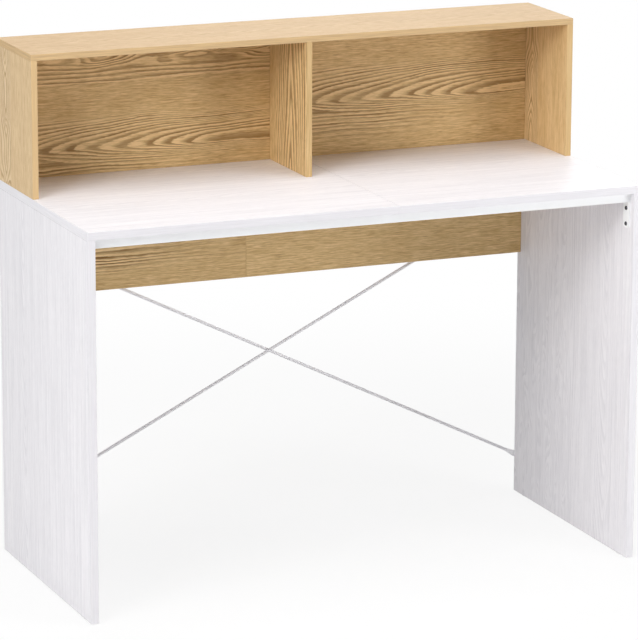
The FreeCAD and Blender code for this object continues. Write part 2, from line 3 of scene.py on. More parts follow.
import bmesh
import bpy
from mathutils import Matrix, Vector


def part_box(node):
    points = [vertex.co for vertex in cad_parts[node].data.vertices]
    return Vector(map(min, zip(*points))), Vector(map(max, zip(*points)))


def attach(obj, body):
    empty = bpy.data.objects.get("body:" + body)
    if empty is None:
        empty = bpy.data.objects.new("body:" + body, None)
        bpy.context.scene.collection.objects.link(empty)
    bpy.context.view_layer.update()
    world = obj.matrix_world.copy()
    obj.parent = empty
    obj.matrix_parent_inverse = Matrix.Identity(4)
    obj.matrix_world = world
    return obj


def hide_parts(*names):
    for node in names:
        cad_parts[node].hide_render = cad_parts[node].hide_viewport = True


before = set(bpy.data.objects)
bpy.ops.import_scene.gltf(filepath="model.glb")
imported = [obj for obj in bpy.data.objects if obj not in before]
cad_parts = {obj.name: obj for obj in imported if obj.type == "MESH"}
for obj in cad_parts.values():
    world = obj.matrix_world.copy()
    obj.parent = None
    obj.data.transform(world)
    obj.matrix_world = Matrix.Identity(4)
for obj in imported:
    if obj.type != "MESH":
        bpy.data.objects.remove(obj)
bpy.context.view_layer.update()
print("desk loaded,", len(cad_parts), "parts")

tiny = 1e-6  # points closer than this are one point


def tint(red, green, blue):  # a screen colour, 0 to 255, as linear values
    def linear(level):
        level /= 255
        return level / 12.92 if level < 0.04045 else ((level + 0.055) / 1.055) ** 2.4

    return (linear(red), linear(green), linear(blue), 1.0)


def shaded(colour, share):  # the same colour, darker
    return tuple(level * share for level in colour[:3]) + (1.0,)


class Sock:
    # an output socket; arithmetic on it adds Math nodes to its tree
    def __init__(self, tree, output):
        self.tree = tree
        self.output = output

    def math(self, operation, *terms):
        return self.tree.node("ShaderNodeMath", {"operation": operation}, dict(enumerate(terms)))

    def __add__(self, other):
        return self.math("ADD", self, other)

    def __radd__(self, other):
        return self.math("ADD", other, self)

    def __sub__(self, other):
        return self.math("SUBTRACT", self, other)

    def __rsub__(self, other):
        return self.math("SUBTRACT", other, self)

    def __mul__(self, other):
        return self.math("MULTIPLY", self, other)

    def __truediv__(self, other):
        return self.math("DIVIDE", self, other)

    def __pow__(self, other):
        return self.math("POWER", self, other)

    def __abs__(self):
        return self.math("ABSOLUTE", self)

    def below(self, limit):
        return self.math("LESS_THAN", self, limit)

    def lesser(self, other):
        return self.math("MINIMUM", self, other)

    def greater(self, other):
        return self.math("MAXIMUM", self, other)

    def sine(self):
        return self.math("SINE", self)

    def cosine(self):
        return self.math("COSINE", self)

    def whole(self):
        return self.math("FLOOR", self)

    def part(self):
        return self.math("FRACT", self)

    def ease(self, start, end, low=0.0, high=1.0):  # smooth step from low to high
        limits = {"Value": self, "From Min": start, "From Max": end, "To Min": low, "To Max": high}
        return self.tree.node("ShaderNodeMapRange", {"interpolation_type": "SMOOTHSTEP"}, limits)


class Tree:
    # adds nodes to a shader or geometry tree
    def __init__(self, owner):
        self.owner = owner

    def node(self, kind, settings=None, values=None, output=0):
        made = self.owner.nodes.new(kind)
        for name, value in (settings or {}).items():
            setattr(made, name, value)
        for name, value in (values or {}).items():
            if isinstance(value, Sock):
                self.owner.links.new(value.output, made.inputs[name])
            else:
                made.inputs[name].default_value = value
        return Sock(self, made.outputs[output] if made.outputs else None)

    def vector(self, x, y, z):
        return self.node("ShaderNodeCombineXYZ", {}, {0: x, 1: y, 2: z})

    def objectPlace(self):
        return self.node("ShaderNodeTexCoord", {}, {}, "Object")

    def ramp(self, factor, stops):  # stops: (place, grey level)
        made = self.node("ShaderNodeValToRGB", {}, {"Fac": factor})
        elements = made.output.node.color_ramp.elements
        elements.remove(elements[1])
        for index, (place, level) in enumerate(stops):
            stop = elements[0] if index == 0 else elements.new(place)
            stop.position = place
            stop.color = (level, level, level, 1)
        return made

    def blend(self, factor, first, second):  # colours, which are its sockets 6, 7 and 2
        settings = {"data_type": "RGBA", "clamp_factor": True}
        return self.node("ShaderNodeMix", settings, {0: factor, 6: first, 7: second}, 2)

    def noise(self, place, scale, detail=2.0):
        values = {"Vector": place, "Scale": scale, "Detail": detail}
        return self.node("ShaderNodeTexNoise", {}, values)

    def bump(self, height, strength, distance):
        values = {"Strength": strength, "Distance": distance, "Height": height}
        return self.node("ShaderNodeBump", {}, values)


def newFinish(name):
    material = bpy.data.materials.new(name)
    material.use_nodes = True
    material.node_tree.nodes.clear()
    return material, Tree(material.node_tree)


def closeFinish(tree, values):
    shader = tree.node("ShaderNodeBsdfPrincipled", {}, values)
    tree.node("ShaderNodeOutputMaterial", {}, {"Surface": shader})


def dress(nodes, material):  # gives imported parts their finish
    for node in nodes:
        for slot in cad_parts[node].material_slots:
            slot.material = material


# a darker, more saturated copy of the oak for the aprons, the divider and the hutch's backs, which
# lie in shade: painted shade
oakInShade = {
    "light": tint(242, 210, 158),
    "pale": tint(231, 200, 148),
    "middle": tint(192, 158, 104),
    "dark": tint(128, 92, 46),
    "pore": tint(140, 104, 58),
    "band": tint(222, 190, 140),
    "glue": tint(132, 98, 58),
    "streak": (0.05, 0.0024),  # length and width of the broad streaks between the lines
    "poreSize": (0.028, 0.0010),
    "roughness": 0.54,
    "shine": 0.25,
    "contrast": 1.0,
    "glueStrength": 0.35,
}
oakOutside = {
    "light": tint(240, 220, 188),
    "pale": tint(230, 204, 162),
    "middle": tint(208, 176, 132),
    "dark": tint(160, 122, 76),
    "pore": tint(176, 140, 96),
    "band": tint(222, 190, 140),
    "glue": tint(132, 98, 58),
    "streak": (0.07, 0.0032),
    "poreSize": (0.028, 0.0010),
    "roughness": 0.56,
    "shine": 0.2,
    "contrast": 0.8,
    "glueStrength": 0.35,
}
# a darker copy of the same oak for the hutch top, which offsets the strong light from above:
# painted shade
oakTopDarkened = {
    **oakOutside,
    "light": tint(225, 201, 168),
    "pale": tint(214, 187, 150),
    "middle": tint(193, 162, 123),
    "dark": tint(150, 116, 76),
    "pore": tint(164, 129, 89),
}
# a darker, yellower copy of the oak for the inner face of the hutch's right side, which lies in
# shade: painted shade
oakSideInShade = {
    **oakOutside,
    "light": tint(242, 216, 172),
    "pale": tint(231, 200, 150),
    "middle": tint(206, 171, 118),
    "dark": tint(146, 108, 60),
    "contrast": 0.85,
}
whiteOak = {
    "light": tint(248, 246, 249),
    "pale": tint(246, 244, 247),
    "middle": tint(230, 228, 232),
    "dark": tint(214, 212, 217),
    "pore": tint(222, 220, 225),
    "band": tint(240, 238, 242),
    "glue": tint(150, 150, 154),
    "streak": (0.22, 0.0085),
    "poreSize": (0.060, 0.0014),
    "roughness": 0.5,
    "shine": 0.4,
    "contrast": 0.8,
    "glueStrength": 0.75,
}
borders = {
    "arris": 0.0005,  # width of a board's arris
    "glueStart": (0.0009, 0.0011),  # where the glue line beside an arris rises
    "glueEnd": (0.0016, 0.0012),  # and where it falls again
}
fan = {  # wide arches, with loops over them
    "tipSpacing": 0.046,  # between the tips of the nested arches
    "armSpacing": 0.0150,  # between the arches' upper arms, at their feet
    "armBend": 1100,  # how much closer the arms lie further up
    "footSpacing": 0.0042,  # between their lower arms
    "lineSpacing": 0.0076,  # between the straight lines under them
    "foot": 0.018,  # how far the lower arms spread
    "arms": 0.062,  # how far the arches reach up
    "lines": 0.056,  # how far down the straight lines show
    "loops": 0.130,  # where the upper, looping lines begin
    "middle": 0.20,  # place along the board where the arms are evenly spaced
    "blunt": 0.8,  # roundness of the arches' tips
}
flame = {  # slim, tall arches, alike on both sides
    "tipSpacing": 0.120,
    "armSpacing": 0.0130,
    "armBend": 250,
    "footSpacing": 0.0130,
    "lineSpacing": 0.0110,
    "foot": 0.045,
    "arms": 0.070,
    "lines": 0.05,
    "loops": 0.30,
    "middle": 0.12,
    "blunt": 0.25,
}
streak = {  # one narrow flame in plain, straight grain
    "tipSpacing": 0.033,
    "armSpacing": 0.0085,
    "armBend": 0,
    "footSpacing": 0.0075,
    "lineSpacing": 0.0090,
    "foot": 0.024,
    "arms": 0.032,
    "lines": 0.004,
    "loops": 0.30,
    "middle": 0.10,
    "blunt": 0.3,
    "pulse": 0.55,  # how strongly the tips bunch together
    "pulseLength": 0.107,
}
layerNoise = {
    # what each noise of a print adds to the seed, its detail, its length and its width
    "drift": (0, 1.0, 0.24, 0.08),
    "waver": (3.1, 1.0, 0.06, 0.018),
    "swirl": (7.7, 1.0, 0.15, 0.032),
    "vary": (11, 2.0, 0.10, 0.02),
    "streak": (21, 3.0),  # the finish gives its length and width, and the pores'
    "fibre": (31, 2.0, 0.016, 0.0013),
    "pore": (41, 2.0),
    "cloud": (51, 2.0, 0.22, 0.03),
    "band": (61, 3.0, 0.08, 0.0016),
}
zones = {
    # where each change across a board starts and ends, in shares of the arms, foot or lines
    "armTaper": (1.45, 0.3),
    "footTaper": (1.6, 0.3),
    "armFade": (1.2, 0.78),
    "lineFade": (1.3, 0.5),
    "footFade": (0.7, 1.6),
    # the same in metres from the start of the loops
    "swirl": (0.016, 0.044),
    "loopFade": (-0.008, 0.002),
}
growth = {
    "driftDepth": 0.020,  # how far the lines' slow bends reach
    "waverDepth": 0.0034,  # how far their quick bends reach
    "swirlDepth": 13,  # how far the loops bend, in rings
    "loopRings": 115,  # rings per metre in the loops
    "loopGap": 0.02,  # from the arms and from the loops to the change between them
    "tipSoftness": 0.0009,  # of the place where the tips end
    "lowerFade": (0.16, 0.42, 0.0, 0.85),  # where along the board the lower lines fade, and how far
    "unevenSteps": (0.42, 2.0),  # of the uneven spacing, per ring and per metre
    "unevenDepth": 1.5,  # in rings
    "fibreDepth": 0.36,  # how far the fibres fray a ring, in rings
    "ringVariation": 0.4,  # how much fainter than another a ring can be
    "patches": (-0.24, 0.1, 0.5, 1.0),  # limits of the noise that fades the lines in patches
    "poreLimits": (0.04, 0.2),
    # strength of the dark and the light wood over one ring
    "late": [(0.0, 1), (0.24, 0.95), (0.42, 0.3), (0.58, 0), (0.94, 0), (1.0, 0.9)],
    "early": [(0.0, 0), (0.48, 0), (0.68, 0.8), (0.9, 1), (0.97, 0.1)],
}
weights = {
    # how much each layer of a print changes the tone, the colours, the relief and the roughness
    "baseTone": 0.56,
    "streakTone": 2.4,
    "cloudTone": 0.5,
    "fibreTone": 1.8,
    "shownTone": 0.2,
    "early": 0.85,
    "late": 0.9,
    "pore": 0.55,
    "bandTone": 0.5,
    "bandStreak": 2.4,
    "fibreRelief": 0.4,
    "poreRelief": 0.6,
    "bandRelief": 0.3,
    "poreRoughness": 0.12,
    "streakRoughness": 0.1,
    "bump": 0.25,
    "bumpDepth": 0.0001,
}


def grain(tree, along, across, seed, name, size=()):
    # one of a print's noises, drawn out along the grain, around zero
    step, detail, length, width = layerNoise[name] + size
    place = tree.vector(along / length, across / width, seed + step)
    return tree.noise(place, 1.0, detail) - 0.5


def zone(height, name, length, base=0.0):  # eases over one of the named changes
    start, end = [base + length * share for share in zones[name]]
    return height.ease(start, end)


def rings(tree, along, across, layout):
    # counts growth rings over a flat-sawn board, and says how plainly each place shows them
    size = layout["figure"]
    seed = layout["seed"]
    foot = size["foot"]
    arms = size["arms"]
    loopStart = size["loops"]
    drift = grain(tree, along, across, seed, "drift") * growth["driftDepth"]
    waver = grain(tree, along, across, seed, "waver") * growth["waverDepth"]
    height = across - layout["axis"] + drift + waver
    above = height.greater(0.0)
    below = (height * -1.0).greater(0.0)
    taper = zone(height, "armTaper", arms) * zone(height, "footTaper", -foot)
    reach = along
    if "lastTip" in layout:  # no more tips beyond this place, so the last arch stays open
        last = layout["lastTip"]
        reach = (along + last - ((along - last) ** 2 + growth["tipSoftness"]) ** 0.5) / 2
    tips = (reach - size["middle"]) / size["tipSpacing"] * taper
    spread = above / size["armSpacing"] + below.lesser(foot) / size["footSpacing"]
    spread = (spread * spread + size["blunt"] ** 2) ** 0.5
    lines = (below - foot).greater(0.0) / size["lineSpacing"]
    arches = spread + above * above * size["armBend"] + lines - tips
    if "pulse" in size:
        turn = along * (2 * math.pi / size["pulseLength"]) + layout["pulseStart"]
        arches = arches - turn.sine() * taper * size["pulse"]
    swirl = grain(tree, along, across, seed, "swirl") * growth["swirlDepth"]
    loops = height * growth["loopRings"] + swirl * zone(height, "swirl", 1, loopStart)
    upper = height.ease(arms + growth["loopGap"], loopStart - growth["loopGap"])
    count = arches * (1 - upper) + loops * upper
    perRing, perMetre = growth["unevenSteps"]
    uneven = tree.noise(tree.vector(count * perRing, seed, along * perMetre), 1.0, 1.0)
    top = zone(height, "armFade", arms)
    bottom = zone(height, "lineFade", -size["lines"], -foot)
    under = zone(height, "footFade", -foot)
    fade = 1 - under * along.ease(*growth["lowerFade"])
    looped = zone(height, "loopFade", 1, loopStart)
    return count + uneven * growth["unevenDepth"], (top * bottom * fade).greater(looped)


def printLayers(tree, along, across, look, layout):
    seed = layout["seed"]
    count, shown = rings(tree, along, across, layout)
    fibre = grain(tree, along, across, seed, "fibre")
    count = count + fibre * growth["fibreDepth"]
    settings = {"noise_dimensions": "1D"}
    pick = tree.node("ShaderNodeTexWhiteNoise", settings, {"W": count.whole() + seed})
    vary = grain(tree, along, across, seed, "vary").ease(*growth["patches"])
    share = growth["ringVariation"]
    strength = shown * (pick * share + (1 - share)) * vary
    pore = grain(tree, along, across, seed, "pore", look["poreSize"])
    return {
        "late": tree.ramp(count.part(), growth["late"]) * strength,
        "early": tree.ramp(count.part(), growth["early"]) * strength,
        "shown": shown,
        "streak": grain(tree, along, across, seed, "streak", look["streak"]),
        "fibre": fibre,
        "pore": pore.ease(*growth["poreLimits"]),
        "cloud": grain(tree, along, across, seed, "cloud"),
    }


def boardSpace(tree, node, grainAxis):
    # the board's own lengths along, across and through it, and how near its faces are
    low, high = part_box(node)
    spans = high - low
    thin = min(range(3), key=lambda index: spans[index])
    main = "XYZ".index(grainAxis)
    order = [main, 3 - thin - main, thin]
    split = tree.node("ShaderNodeSeparateXYZ", {}, {"Vector": tree.objectPlace()}).output.node
    axes = [Sock(tree, split.outputs[index]) for index in order]
    starts = [axis - low[index] for axis, index in zip(axes, order)]
    gaps = [start.lesser(spans[index] - start) for start, index in zip(starts, order)]
    return starts, gaps


def nearArris(first, second, third):  # the middle one of three distances
    smaller = first.lesser(second)
    larger = first.greater(second)
    return smaller.greater(larger.lesser(third))


def boardFinish(node, look, grainAxis, layout):
    material, tree = newFinish(node + "_finish")
    (along, across, deep), (endGap, sideGap, faceGap) = boardSpace(tree, node, grainAxis)
    if "reversed" in layout:
        along = layout["reversed"] - along
    onEnd = endGap.below(borders["arris"] / 2)
    onSide = sideGap.below(borders["arris"] / 2)
    bandAlong = across * onEnd + along * (1 - onEnd)
    onBand = onEnd.greater(onSide)
    faceAlong = bandAlong * onBand + along * (1 - onBand)
    faceAcross = deep * onBand + across * (1 - onBand)
    layers = printLayers(tree, along, across, look, layout)
    bandStreak = grain(tree, faceAlong, faceAcross, layout["seed"], "band")
    strength = look["contrast"] * layout.get("boldness", 1.0)
    tone = layers["streak"] * weights["streakTone"] + layers["cloud"] * weights["cloudTone"]
    tone = tone + layers["fibre"] * weights["fibreTone"] + weights["baseTone"]
    tone = tone + layers["shown"] * weights["shownTone"] * strength
    # a negative tone offset darkens a board that lies in shade: painted shade
    tone = tone + layout.get("lightness", 0.0)
    face = tree.blend(tone, look["middle"], look["pale"])
    face = tree.blend(layers["early"] * weights["early"] * strength, face, look["light"])
    face = tree.blend(layers["late"] * weights["late"] * strength, face, look["dark"])
    face = tree.blend(layers["pore"] * weights["pore"], face, look["pore"])
    bandTone = bandStreak * weights["bandStreak"] + weights["bandTone"]
    band = tree.blend(bandTone, look["middle"], look["band"])
    colour = tree.blend(onBand, face, band)
    arris = nearArris(endGap, sideGap, faceGap)
    seam = arris.ease(*borders["glueStart"]) * arris.ease(*borders["glueEnd"]) * (1 - onBand)
    colour = tree.blend(seam * look["glueStrength"], colour, look["glue"])
    relief = layers["fibre"] * weights["fibreRelief"] - layers["pore"] * weights["poreRelief"]
    relief = relief + bandStreak * weights["bandRelief"]
    rough = look["roughness"] + layers["pore"] * weights["poreRoughness"]
    rough = rough + layers["streak"] * weights["streakRoughness"]
    values = {
        "Base Color": colour,
        "Roughness": rough,
        "Normal": tree.bump(relief, weights["bump"], weights["bumpDepth"]),
        "Specular IOR Level": look["shine"],
    }
    closeFinish(tree, values)
    dress([node], material)


boards = {
    # node: finish, grain direction, figure, place of its axis, seed, and what else differs
    "side_panel_left": (whiteOak, "Z", fan, 0.36, 1.0, {"boldness": 0.6}),
    "side_panel_right": (whiteOak, "Z", fan, 0.10, 2.0, {"boldness": 0.6}),
    "desktop_left": (whiteOak, "X", fan, 0.20, 3.0, {"boldness": 0.4}),
    "desktop_right": (whiteOak, "X", fan, 0.28, 4.0, {"boldness": 0.4}),
    # the negative tone offsets on the aprons, the divider and the backs are painted shade, the left
    # apron more than the right
    "apron_left": (oakInShade, "X", fan, 0.108, 5.0, {"lightness": -0.2, "boldness": 1.5}),
    "apron_right": (oakInShade, "X", fan, 0.205, 6.0, {"lightness": -0.1}),
    "hutch_top": (oakTopDarkened, "X", fan, 0.09, 7.0, {"boldness": 0.35}),
    "hutch_side_left": (oakOutside, "Z", streak, 0.152, 8.0, {"pulseStart": -0.65}),
    "hutch_side_right": (
        oakSideInShade, "Z", streak, 0.155, 8.5, {"reversed": 0.258, "pulseStart": -5.28}
    ),
    "hutch_divider": (oakInShade, "Z", flame, 0.078, 9.0, {"reversed": 0.258, "lightness": -0.05}),
    "hutch_back_left": (oakInShade, "X", fan, 0.046, 10.0, {"lightness": -0.1, "lastTip": 0.41}),
    "hutch_back_right": (oakInShade, "X", fan, 0.107, 10.0, {"lightness": -0.12, "lastTip": 0.44}),
}
for node, (look, grainAxis, figure, axis, seed, extra) in boards.items():
    layout = {"figure": figure, "axis": axis, "seed": seed, **extra}
    boardFinish(node, look, grainAxis, layout)
print("boards finished")


steel = {
    "white": tint(253, 254, 255),
    "grey": tint(241, 240, 243),
    "shade": 0.97,  # of the darker patches
    "patches": 14.0,
    "roughness": 0.38,
    "roughnessSpread": 0.12,
    "peel": 900.0,  # scale of the paint's fine waves
    "peelDepth": 0.0001,
    "beamPeel": 0.2,
    "rodPeel": 0.05,
}


def paintFinish(name, colour, strength, nodes):
    material, tree = newFinish(name)
    place = tree.objectPlace()
    peel = tree.noise(place, steel["peel"])
    cloud = tree.noise(place, steel["patches"])
    values = {
        "Base Color": tree.blend(cloud, shaded(colour, steel["shade"]), colour),
        "Roughness": steel["roughness"] + (cloud - 0.5) * steel["roughnessSpread"],
        "Normal": tree.bump(peel, strength, steel["peelDepth"]),
    }
    closeFinish(tree, values)
    dress(nodes, material)
    return material


beamNodes = ["front_beam", "beam_end_plate_left", "beam_end_plate_right"]
beamPaint = paintFinish("beam_paint", steel["white"], steel["beamPeel"], beamNodes)
rodNodes = ["brace_rod_inner", "brace_rod_outer"]
rodPaint = paintFinish("rod_paint", steel["grey"], steel["rodPeel"], rodNodes)

metal = {
    "dark": tint(97, 97, 101),
    "darkRoughness": 0.42,
    "zinc": tint(196, 196, 200),
    "zincRoughness": 0.36,
    "roughnessSpread": 0.2,
    "shade": 0.75,
    "patches": 160.0,
    "patchDetail": 3.0,
    "grit": 2400.0,
    "gritStrength": 0.25,
    "gritDepth": 0.00005,
}


def metalFinish(name, colour, roughness, nodes):
    material, tree = newFinish(name)
    place = tree.objectPlace()
    cloud = tree.noise(place, metal["patches"], metal["patchDetail"])
    grit = tree.noise(place, metal["grit"])
    values = {
        "Base Color": tree.blend(cloud, shaded(colour, metal["shade"]), colour),
        "Metallic": 1.0,
        "Roughness": roughness + (cloud - 0.5) * metal["roughnessSpread"],
        "Normal": tree.bump(grit, metal["gritStrength"], metal["gritDepth"]),
    }
    closeFinish(tree, values)
    dress(nodes, material)
    return material


screwNodes = ["beam_plate_screws", "brace_screws"]
darkScrew = metalFinish("dark_screw_finish", metal["dark"], metal["darkRoughness"], screwNodes)
zincNodes = ["desk_cam_locks", "desk_cam_bolts", "hutch_cam_locks", "hutch_cam_bolts"]
zinc = metalFinish("zinc_finish", metal["zinc"], metal["zincRoughness"], zincNodes)

beech = {
    "dark": tint(206, 168, 122),
    "light": tint(228, 196, 152),
    "speckle": 420.0,
    "detail": 3.0,
    "roughness": 0.6,
    "roughnessSpread": 0.1,
}
plastic = {
    "dark": tint(212, 212, 210),
    "light": tint(228, 228, 226),
    "speckle": 700.0,
    "detail": 2.0,
    "roughness": 0.5,
    "roughnessSpread": 0.2,
}


def speckledFinish(name, look, nodes):
    material, tree = newFinish(name)
    speckle = tree.noise(tree.objectPlace(), look["speckle"], look["detail"])
    colour = tree.blend(speckle, look["dark"], look["light"])
    rough = look["roughness"] + (speckle - 0.5) * look["roughnessSpread"]
    closeFinish(tree, {"Base Color": colour, "Roughness": rough})
    dress(nodes, material)
    return material


dowelNodes = [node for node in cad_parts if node.endswith("dowels")]
speckledFinish("beech_finish", beech, dowelNodes)
glidePlastic = speckledFinish("glide_finish", plastic, ["floor_glides"])
print("fittings finished")


def solidsOf(node):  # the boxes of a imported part's separate pieces, in order of place
    mesh = bmesh.new()
    mesh.from_mesh(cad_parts[node].data)
    bmesh.ops.remove_doubles(mesh, verts=mesh.verts, dist=tiny)
    left = set(mesh.verts)
    boxes = []
    while left:
        edge = [left.pop()]
        points = []
        while edge:
            vertex = edge.pop()
            points.append(vertex.co.copy())
            for link in vertex.link_edges:
                other = link.other_vert(vertex)
                if other in left:
                    left.remove(other)
                    edge.append(other)
        low = Vector([min(point[axis] for point in points) for axis in range(3)])
        high = Vector([max(point[axis] for point in points) for axis in range(3)])
        boxes.append((low, high))
    mesh.free()
    return sorted(boxes, key=lambda box: tuple(round(value, 4) for value in box[0]))


def seats(node, partners=None):
    # where each fitting's outer face is, which way it looks, and where its partner lies
    others = [(low + high) / 2 for low, high in solidsOf(partners)] if partners else []
    found = []
    for low, high in solidsOf(node):
        spans = high - low
        apart = [min(abs(spans[axis] - spans[axis - step]) for step in (1, 2)) for axis in range(3)]
        odd = apart.index(max(apart))  # a round fitting's length differs from its two widths
        middle = (low + high) / 2
        sign = (-math.copysign(1, middle.x), 1, -1)[odd]
        look = Vector([sign if axis == odd else 0 for axis in range(3)])
        place = middle + look * spans[odd] / 2
        aim = Vector((look.y, look.z, look.x))
        if others:
            aim = min(others, key=lambda other: (other - middle).length) - middle
        found.append((place, look, aim))
    return found


class FittingTree(Tree):
    # a geometry tree with named inputs that puts one fitting on every point
    def __init__(self, name, inputs):
        group = bpy.data.node_groups.new(name, "GeometryNodeTree")
        super().__init__(group)
        for side in ("INPUT", "OUTPUT"):
            group.interface.new_socket("Geometry", in_out=side, socket_type="NodeSocketGeometry")
        self.values = inputs
        self.sockets = {}
        kinds = {bpy.types.Material: "Material", int: "Int"}
        for label, value in inputs.items():
            kind = "NodeSocket" + kinds.get(type(value), "Float")
            made = group.interface.new_socket(label, in_out="INPUT", socket_type=kind)
            self.sockets[label] = made
        self.inputNode = group.nodes.new("NodeGroupInput")

    def input(self, label):
        return Sock(self, self.inputNode.outputs[label])

    def lathe(self, columns, rows, profile):
        # a grid wrapped round the Z axis
        # profile turns row (0 to 1) and angle into radius and height
        size = {"Size X": 1.0, "Size Y": 1.0, "Vertices X": columns + 1, "Vertices Y": rows + 1}
        grid = self.node("GeometryNodeMeshGrid", {}, size)
        place = self.node("GeometryNodeInputPosition")
        split = self.node("ShaderNodeSeparateXYZ", {}, {0: place}).output.node
        angle = (Sock(self, split.outputs[0]) + 0.5) * (-2 * math.pi)
        row = Sock(self, split.outputs[1]) + 0.5
        radius, height = profile(row, angle)
        spot = self.vector(radius * angle.cosine(), radius * angle.sine(), height)
        moved = self.node("GeometryNodeSetPosition", {}, {"Geometry": grid, "Position": spot})
        return self.node("GeometryNodeMergeByDistance", {}, {"Geometry": moved, "Distance": tiny})

    def turning(self, columns, outline, radius, height):
        # a lathe from an outline of (share of radius, share of height below the face)
        last = len(outline) - 1
        wide = [(index / last, point[0]) for index, point in enumerate(outline)]
        deep = [(index / last, point[1]) for index, point in enumerate(outline)]

        def profile(row, angle):
            return radius * self.ramp(row, wide), height * -1 * self.ramp(row, deep)

        return self.lathe(columns, last, profile)

    def block(self, width, depth, height, taper=0.0):
        # a box about the origin that narrows downwards
        size = self.vector(width, depth, height)
        cube = self.node("GeometryNodeMeshCube", {}, {"Size": size})
        place = self.node("GeometryNodeInputPosition")
        split = self.node("ShaderNodeSeparateXYZ", {}, {0: place}).output.node
        across, along, level = [Sock(self, split.outputs[index]) for index in range(3)]
        narrow = 1 + level / height * taper
        spot = self.vector(across * narrow, along * narrow, level)
        return self.node("GeometryNodeSetPosition", {}, {"Geometry": cube, "Position": spot})

    def shift(self, mesh, along, height):
        move = self.vector(along, 0, height)
        return self.node("GeometryNodeTransform", {}, {"Geometry": mesh, "Translation": move})

    def cut(self, body, tools):
        settings = {"operation": "DIFFERENCE", "solver": "EXACT"}
        values = {"Self Intersection": True, "Mesh 1": body, "Mesh 2": self.join(tools)}
        return self.node("GeometryNodeMeshBoolean", settings, values, "Mesh")

    def join(self, meshes):
        made = self.owner.nodes.new("GeometryNodeJoinGeometry")
        for mesh in meshes:
            self.owner.links.new(mesh.output, made.inputs[0])
        return Sock(self, made.outputs[0])

    def smooth(self, mesh, degrees):  # smooth, with sharp edges above an angle
        soft = self.node("GeometryNodeSetShadeSmooth", {"domain": "FACE"}, {0: mesh, 2: True})
        bend = self.node("GeometryNodeInputMeshEdgeAngle", {}, {}, "Unsigned Angle")
        limits = {0: bend, 1: math.radians(degrees)}
        crease = self.node("FunctionNodeCompare", {"operation": "GREATER_THAN"}, limits)
        sharp = {0: soft, 1: crease, 2: False}
        return self.node("GeometryNodeSetShadeSmooth", {"domain": "EDGE"}, sharp)

    def attribute(self, name):
        settings = {"data_type": "FLOAT_VECTOR"}
        return self.node("GeometryNodeInputNamedAttribute", settings, {"Name": name})

    def finish(self, fitting):
        # one fitting on every point, turned to look and aim as the point says
        align = "FunctionNodeAlignRotationToVector"
        facing = self.node(align, {"axis": "Z"}, {"Vector": self.attribute("look")})
        aimed = {"Rotation": facing, "Vector": self.attribute("aim")}
        facing = self.node(align, {"axis": "X", "pivot_axis": "Z"}, aimed)
        turn = {2: 0.0, 3: self.input("Turn"), "Seed": self.input("Seed")}
        angle = self.node("FunctionNodeRandomValue", {"data_type": "FLOAT"}, turn, 1)
        spin = self.node("FunctionNodeAxisAngleToRotation", {}, {"Axis": (0, 0, 1), "Angle": angle})
        turns = {"Rotation": facing, "Rotate By": spin}
        turned = self.node("FunctionNodeRotateRotation", {"rotation_space": "LOCAL"}, turns)
        points = {"Points": self.input("Geometry"), "Instance": fitting, "Rotation": turned}
        self.close(self.node("GeometryNodeInstanceOnPoints", {}, points))

    def close(self, shape):
        real = self.node("GeometryNodeRealizeInstances", {}, {"Geometry": shape})
        finish = {"Geometry": real, "Material": self.input("Finish")}
        done = self.node("GeometryNodeSetMaterial", {}, finish)
        self.node("NodeGroupOutput", {}, {0: done})


def grow(name, host, tree):  # runs a tree on a host mesh and gives the result as a plain mesh
    source = bpy.data.objects.new(name + "_source", host)
    bpy.context.scene.collection.objects.link(source)
    modifier = source.modifiers.new("fittings", "NODES")
    modifier.node_group = tree.owner
    for label, value in tree.values.items():
        modifier[tree.sockets[label].identifier] = value
    seen = source.evaluated_get(bpy.context.evaluated_depsgraph_get())
    mesh = bpy.data.meshes.new_from_object(seen)
    source.modifiers.remove(modifier)
    bpy.data.objects.remove(source)
    return mesh


def placeFittings(name, tree, slot, node, partners=None):
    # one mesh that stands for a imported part
    host = bpy.data.meshes.new(name + "_points")
    spots = seats(node, partners)
    host.from_pydata([spot[0] for spot in spots], [], [])
    for label, index in (("look", 1), ("aim", 2)):
        directions = host.attributes.new(label, "FLOAT_VECTOR", "POINT")
        for item, spot in zip(directions.data, spots):
            item.vector = spot[index]
    mesh = grow(name, host, tree)
    print(name, len(spots), "pieces,", len(mesh.polygons), "faces")
    addPiece(name, mesh, slot, node)


def addPiece(name, mesh, slot, *nodes):
    piece = bpy.data.objects.new(name, mesh)
    bpy.context.scene.collection.objects.link(piece)
    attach(piece, "root")
    if nodes:
        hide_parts(*nodes)


screws = {
    "Head diameter": 0.008,
    "Head height": 0.0024,
    "Recess width": 0.0046,
    "Recess slot": 0.0009,
    "Recess depth": 0.0015,
    "Shank diameter": 0.0038,
    "Thread pitch": 0.0016,
    "Turn": math.pi,
}
screwKinds = {
    # node: length of the shank, and seed of the heads' turns
    "beam_plate_screws": (0.013, 4),
    "brace_screws": (0.025, 9),
}
screwForm = {
    "headSides": 40,
    "domeSteps": 14,
    "domePowers": (0.75, 0.55),  # 1 and 1 would make the dome round
    "headCrease": 32,  # degrees above which an edge stays sharp
    "crossTaper": 0.4,
    "hubWidth": 1.8,  # of the recess's middle, in slots
    "hubHeight": 2.3,  # in depths of the recess, half of it above the head
    "hubTaper": 0.6,
    "shankSides": 16,
    "shankRows": 60,
    "shankCrease": 70,
    "cap": 0.02,  # the rows within this share of an end close the shank
    "capEdge": 0.001,
    "root": 0.74,  # share of the radius between the threads
    "point": (0.8, 0.98, 1.0, 0.1),  # where the point starts and ends, and its radii there
}


def dome(steps, powers):  # the outline of a pan head, from its middle to its rim
    wide, high = powers
    turns = [math.pi / 2 * index / steps for index in range(steps + 1)]
    return [(math.sin(turn) ** wide, 1 - max(math.cos(turn), 0) ** high) for turn in turns]


